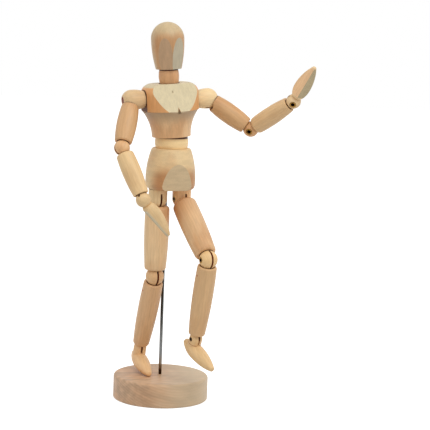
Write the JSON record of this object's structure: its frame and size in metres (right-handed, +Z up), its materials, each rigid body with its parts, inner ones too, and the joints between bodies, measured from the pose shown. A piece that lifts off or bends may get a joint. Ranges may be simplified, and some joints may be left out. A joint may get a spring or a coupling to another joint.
{
  "type": "artist mannequin",
  "caption": "Small jointed wooden figure on a round base with a steel support rod, for practising poses in drawing; head, torso and limbs turn on friction joints.",
  "frame": {"origin": "centre of the base's underside", "axes": "+Z up, the figure at rest in the pictured pose faces -Y turned a little to +X, its left side is +X"},
  "size_m": [0.1534, 0.1001, 0.3023],
  "materials": {
    "pale_wood": "clear satin over pale hardwood",
    "mid_wood": "clear satin over pale hardwood",
    "warm_wood": "clear satin over pale hardwood",
    "base_wood": "clear satin over pale hardwood",
    "steel": "drawn bright steel",
    "brass": "dull rolled brass"
  },
  "bodies": {
    "stand": {"base": "base_wood", "support_rod": "steel"},
    "pelvis": {"pelvis": "mid_wood", "pelvis_plug": "pale_wood", "spine_spring": "steel"},
    "waist": {"waist": "mid_wood"},
    "spine_swivel": {"spine_plug": "pale_wood"},
    "chest": {"chest": "pale_wood", "chest_plug": "pale_wood", "neck_spring": "steel"},
    "neck": {"neck": "warm_wood"},
    "neck_swivel": {"neck_plug": "pale_wood"},
    "head": {"head": "pale_wood"},
    "shoulder_right": {"shoulder_ball_right": "pale_wood", "shoulder_pin_right": "steel"},
    "upper_arm_right": {"upper_arm_right": "mid_wood", "shoulder_tongue_right": "steel"},
    "elbow_right": {"elbow_ball_right": "mid_wood", "elbow_rivet_right": "brass"},
    "forearm_right": {"forearm_right": "pale_wood", "elbow_tongue_right": "steel"},
    "wrist_right": {"wrist_tongue_right": "steel"},
    "hand_right": {"hand_right": "pale_wood", "wrist_rivet_right": "brass"},
    "hip_right": {"hip_ball_right": "mid_wood", "hip_rivet_right": "brass"},
    "thigh_right": {"thigh_right": "mid_wood", "hip_tongue_right": "steel"},
    "knee_right": {"knee_ball_right": "pale_wood", "knee_rivet_right": "brass"},
    "shin_right": {"shin_right": "mid_wood", "knee_tongue_right": "steel", "shin_pin_right": "warm_wood"},
    "ankle_right": {"ankle_tongue_right": "steel"},
    "foot_right": {"foot_right": "pale_wood", "ankle_rivet_right": "brass"},
    "shoulder_left": {"shoulder_ball_left": "pale_wood", "shoulder_pin_left": "steel"},
    "upper_arm_left": {"upper_arm_left": "mid_wood", "shoulder_tongue_left": "steel"},
    "elbow_left": {"elbow_ball_left": "mid_wood", "elbow_rivet_left": "brass"},
    "forearm_left": {"forearm_left": "pale_wood", "elbow_tongue_left": "steel"},
    "wrist_left": {"wrist_tongue_left": "steel"},
    "hand_left": {"hand_left": "pale_wood", "wrist_rivet_left": "brass"},
    "hip_left": {"hip_ball_left": "mid_wood", "hip_rivet_left": "brass"},
    "thigh_left": {"thigh_left": "mid_wood", "hip_tongue_left": "steel"},
    "knee_left": {"knee_ball_left": "pale_wood", "knee_rivet_left": "brass"},
    "shin_left": {"shin_left": "mid_wood", "knee_tongue_left": "steel", "shin_pin_left": "warm_wood"},
    "ankle_left": {"ankle_tongue_left": "steel"},
    "foot_left": {"foot_left": "pale_wood", "ankle_rivet_left": "brass"}
  },
  "joints": [
    {"name": "pelvis_turn", "type": "hinge", "parent": "stand", "child": "pelvis", "pos_m": [-0.0007, 0, 0], "axis": [0, 0, -1], "range_deg": [-90, 90]},
    {"name": "waist_bend", "type": "hinge", "parent": "pelvis", "child": "waist", "pos_m": [0.00251, -0.00883, 0.20825], "axis": [-0.9397, -0.342, 0], "range_deg": [-8, 12], "deforming": ["spine_spring"]},
    {"name": "waist_lean", "type": "hinge", "parent": "waist", "child": "spine_swivel", "pos_m": [0.00251, -0.00883, 0.20825], "axis": [0.342, -0.9397, 0], "range_deg": [-16, 3], "deforming": ["spine_spring"]},
    {"name": "waist_twist", "type": "hinge", "parent": "spine_swivel", "child": "chest", "pos_m": [0.00251, -0.00883, 0.20825], "axis": [0.0737, 0.0268, -0.9969], "range_deg": [-30, 30]},
    {"name": "neck_nod", "type": "hinge", "parent": "chest", "child": "neck", "pos_m": [-0.00132, -0.01023, 0.26014], "axis": [0.9368, 0.341, 0.0785], "range_deg": [-15, 15], "deforming": ["neck_spring"]},
    {"name": "neck_lean", "type": "hinge", "parent": "neck", "child": "neck_swivel", "pos_m": [-0.00132, -0.01023, 0.26014], "axis": [0.342, -0.9397, 0], "range_deg": [-11, 12], "deforming": ["neck_spring"]},
    {"name": "neck_turn", "type": "hinge", "parent": "neck_swivel", "child": "head", "pos_m": [-0.00132, -0.01023, 0.26014], "axis": [0.0655, 0.0239, -0.9976], "range_deg": [-80, 76]},
    {"name": "shoulder_swing_right", "type": "hinge", "parent": "chest", "child": "shoulder_right", "pos_m": [-0.02969, -0.02056, 0.24101], "axis": [-0.9368, -0.341, -0.0785], "range_deg": [-10, 138]},
    {"name": "shoulder_raise_right", "type": "hinge", "parent": "shoulder_right", "child": "upper_arm_right", "pos_m": [-0.02969, -0.02056, 0.24101], "axis": [0.2634, -0.8349, 0.4833], "range_deg": [-60, 21]},
    {"name": "elbow_swivel_right", "type": "hinge", "parent": "upper_arm_right", "child": "elbow_right", "pos_m": [-0.03546, -0.04275, 0.20582], "axis": [0.1374, 0.5284, 0.8378], "range_deg": [-165, 8]},
    {"name": "elbow_bend_right", "type": "hinge", "parent": "elbow_right", "child": "forearm_right", "pos_m": [-0.03546, -0.04275, 0.20582], "axis": [-0.3537, 0.8163, -0.4568], "range_deg": [-34, 33]},
    {"name": "wrist_swivel_right", "type": "hinge", "parent": "forearm_right", "child": "wrist_right", "pos_m": [-0.01771, -0.05627, 0.1679], "axis": [0.4035, -0.3074, -0.8618], "range_deg": [-45, 125]},
    {"name": "wrist_bend_right", "type": "hinge", "parent": "wrist_right", "child": "hand_right", "pos_m": [-0.01771, -0.05627, 0.1679], "axis": [0.8134, -0.3109, 0.4917], "range_deg": [-40, 26]},
    {"name": "hip_swivel_right", "type": "hinge", "parent": "pelvis", "child": "hip_right", "pos_m": [-0.00688, -0.01225, 0.163], "axis": [0, 0, -1], "range_deg": [-30, 5]},
    {"name": "hip_lift_right", "type": "hinge", "parent": "hip_right", "child": "thigh_right", "pos_m": [-0.00688, -0.01225, 0.163], "axis": [-0.91, -0.4147, 0], "range_deg": [-8, 40]},
    {"name": "knee_swivel_right", "type": "hinge", "parent": "thigh_right", "child": "knee_right", "pos_m": [-0.00733, -0.01127, 0.10101], "axis": [0.0072, -0.0159, 0.9998], "range_deg": [-5, 38]},
    {"name": "knee_bend_right", "type": "hinge", "parent": "knee_right", "child": "shin_right", "pos_m": [-0.00733, -0.01127, 0.10101], "axis": [0.9171, 0.3988, -0.0003], "range_deg": [-20, 48]},
    {"name": "ankle_swivel_right", "type": "hinge", "parent": "shin_right", "child": "ankle_right", "pos_m": [-0.01751, 0.01208, 0.03796], "axis": [0.1496, -0.3434, 0.9272], "range_deg": [-40, 14]},
    {"name": "ankle_point_right", "type": "hinge", "parent": "ankle_right", "child": "foot_right", "pos_m": [-0.01751, 0.01208, 0.03796], "axis": [0.9406, 0.3385, -0.0264], "range_deg": [-17, 0]},
    {"name": "shoulder_swing_left", "type": "hinge", "parent": "chest", "child": "shoulder_left", "pos_m": [0.02975, 0.00108, 0.24278], "axis": [-0.9368, -0.341, -0.0785], "range_deg": [-85, 135]},
    {"name": "shoulder_raise_left", "type": "hinge", "parent": "shoulder_left", "child": "upper_arm_left", "pos_m": [0.02975, 0.00108, 0.24278], "axis": [-0.2573, 0.8233, -0.506], "range_deg": [-37, 44]},
    {"name": "elbow_swivel_left", "type": "hinge", "parent": "upper_arm_left", "child": "elbow_left", "pos_m": [0.06479, -0.00207, 0.21984], "axis": [-0.8344, 0.0749, 0.5461], "range_deg": [-120, 56]},
    {"name": "elbow_bend_left", "type": "hinge", "parent": "elbow_left", "child": "forearm_left", "pos_m": [0.06479, -0.00207, 0.21984], "axis": [-0.2854, -0.9063, -0.3117], "range_deg": [-70, 4]},
    {"name": "wrist_swivel_left", "type": "hinge", "parent": "forearm_left", "child": "wrist_left", "pos_m": [0.09636, -0.02044, 0.24437], "axis": [0.7176, -0.4176, 0.5574], "range_deg": [-100, 77]},
    {"name": "wrist_bend_left", "type": "hinge", "parent": "wrist_left", "child": "hand_left", "pos_m": [0.09636, -0.02044, 0.24437], "axis": [0.153, 0.8752, 0.4589], "range_deg": [-35, 30]},
    {"name": "hip_swivel_left", "type": "hinge", "parent": "pelvis", "child": "hip_left", "pos_m": [0.01191, -0.00541, 0.163], "axis": [0, 0, -1], "range_deg": [-30, 22]},
    {"name": "hip_lift_left", "type": "hinge", "parent": "hip_left", "child": "thigh_left", "pos_m": [0.01191, -0.00541, 0.163], "axis": [0.8788, 0.4772, 0], "range_deg": [-11, 29]},
    {"name": "knee_swivel_left", "type": "hinge", "parent": "thigh_left", "child": "knee_left", "pos_m": [0.0339, -0.0459, 0.12151], "axis": [-0.3546, 0.6531, 0.6691], "range_deg": [-38, 40]},
    {"name": "knee_bend_left", "type": "hinge", "parent": "knee_left", "child": "shin_left", "pos_m": [0.0339, -0.0459, 0.12151], "axis": [0.8843, 0.4668, 0.013], "range_deg": [-60, 7]},
    {"name": "ankle_swivel_left", "type": "hinge", "parent": "shin_left", "child": "ankle_left", "pos_m": [0.0267, -0.03044, 0.05569], "axis": [-0.1058, 0.2273, -0.968], "range_deg": [-38, 50]},
    {"name": "ankle_point_left", "type": "hinge", "parent": "ankle_left", "child": "foot_left", "pos_m": [0.0267, -0.03044, 0.05569], "axis": [-0.8319, -0.5536, -0.0391], "range_deg": [-35, 33]}
  ]
}
